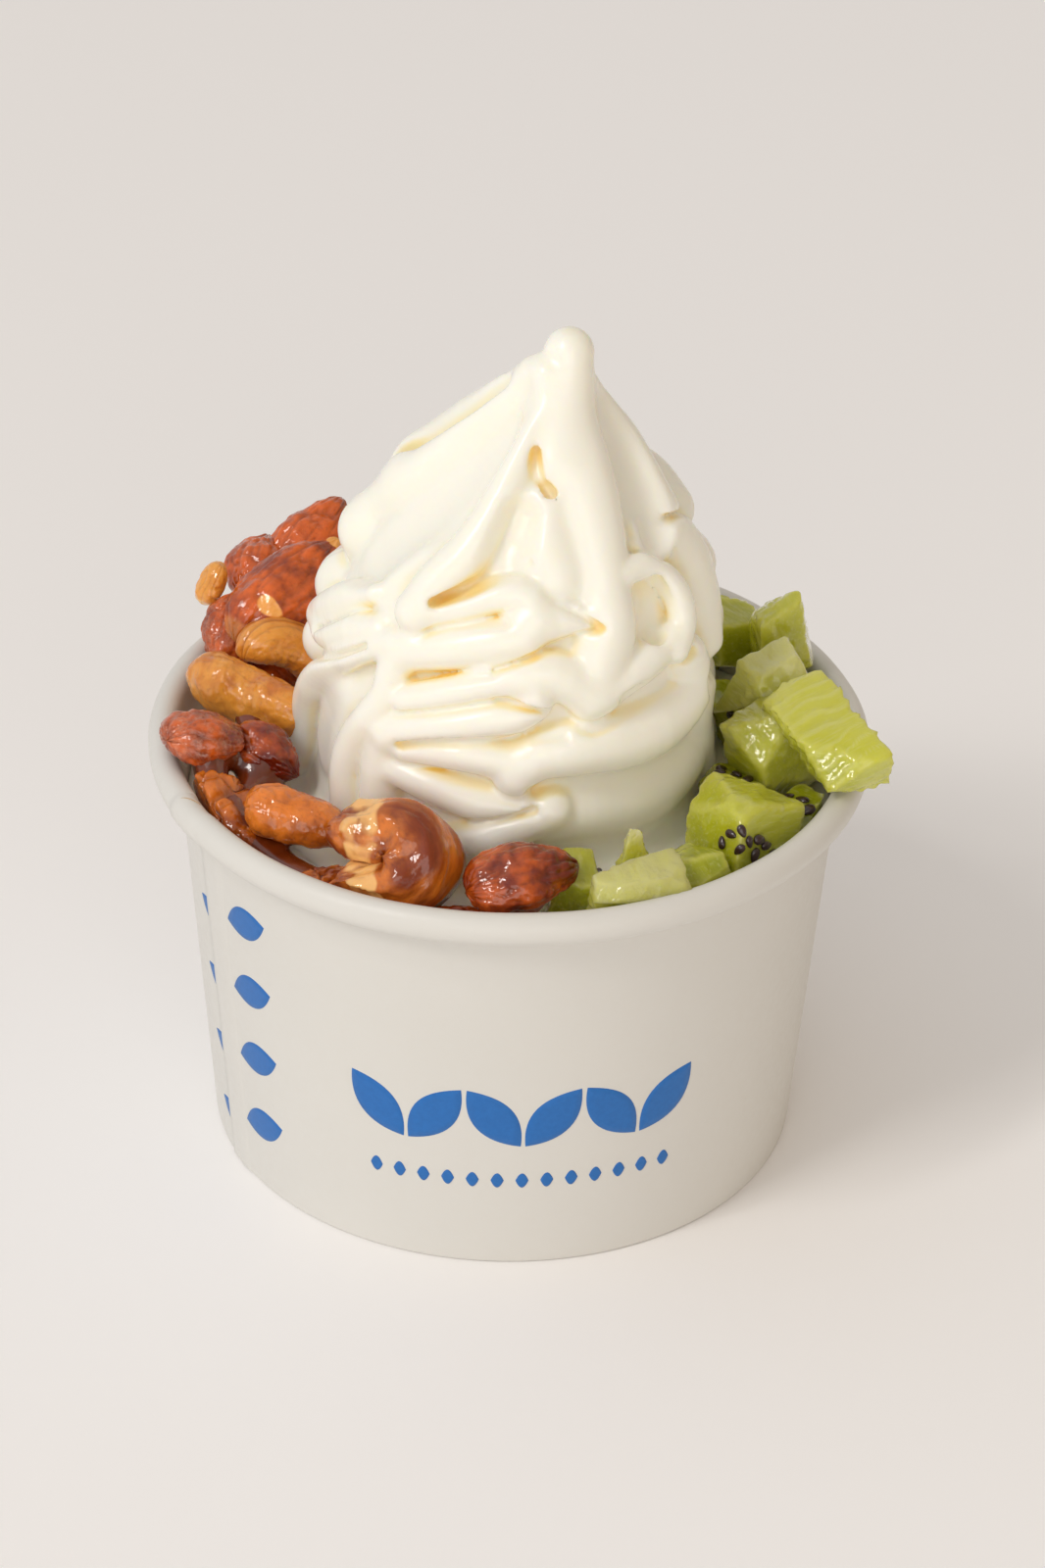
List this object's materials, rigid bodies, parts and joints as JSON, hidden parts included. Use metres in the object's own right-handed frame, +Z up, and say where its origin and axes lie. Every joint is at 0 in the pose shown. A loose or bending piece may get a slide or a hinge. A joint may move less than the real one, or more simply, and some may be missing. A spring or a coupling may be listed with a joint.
{
  "type": "frozen yogurt cup",
  "caption": "Paper cup of white frozen yogurt in a tall folded swirl, with sugared almonds and cashews on its left and diced kiwi on its right.",
  "frame": {"origin": "centre of the ring that the cup stands on, at the surface that it stands on", "axes": "+Z up along the cup's axis; -Y towards the swirl's best side; +X towards the kiwi"},
  "size_m": [0.0962, 0.0948, 0.1167],
  "materials": {
    "cup_paper": "smooth coated white paper board with a soft sheen",
    "yogurt": "smooth cream-white frozen yogurt, softly shiny where it melts, warm yellow deep in its folds",
    "almond_skin": "red-brown almond skin under clear sugar glaze",
    "cashew": "toasted tan cashew, satin",
    "caramel": "nut in wet brown caramel",
    "kiwi_flesh": "wet translucent green fruit flesh",
    "kiwi_seed": "small dark purple-brown seeds",
    "print_ink": "flat blue printed shapes"
  },
  "bodies": {
    "root": {"cup": "cup_paper", "yogurt": "yogurt", "almond_back_top": "almond_skin", "almond_back_left": "almond_skin", "almond_high": "almond_skin", "nut_chip": "cashew", "almond_sugared": "almond_skin", "cashew_small": "cashew", "cashew_big": "cashew", "almond_on_rim": "almond_skin", "almond_dark": "almond_skin", "caramel_left": "caramel", "caramel_bit": "caramel", "caramel_cashew": "cashew", "caramel_large": "caramel", "caramel_crumb": "caramel", "almond_front": "almond_skin", "almond_sliver": "almond_skin", "almond_deep_left": "almond_skin", "almond_deep_back": "almond_skin", "cashew_deep_back": "cashew", "almond_rear": "almond_skin", "cashew_deep_left": "cashew", "kiwi_upper": "kiwi_flesh", "kiwi_rear": "kiwi_flesh", "kiwi_seeded_rear": "kiwi_flesh", "kiwi_pale_top": "kiwi_flesh", "kiwi_middle": "kiwi_flesh", "kiwi_over_rim": "kiwi_flesh", "kiwi_cube": "kiwi_flesh", "kiwi_flat": "kiwi_flesh", "kiwi_dark": "kiwi_flesh", "kiwi_pale_bar": "kiwi_flesh", "kiwi_sliver": "kiwi_flesh", "kiwi_left": "kiwi_flesh", "kiwi_rim_low": "kiwi_flesh", "kiwi_rim_rear": "kiwi_flesh", "kiwi_deep_right": "kiwi_flesh", "kiwi_back_right": "kiwi_flesh", "kiwi_back": "kiwi_flesh", "kiwi_back_left": "kiwi_flesh", "kiwi_back_high": "kiwi_flesh"}
  },
  "joints": []
}
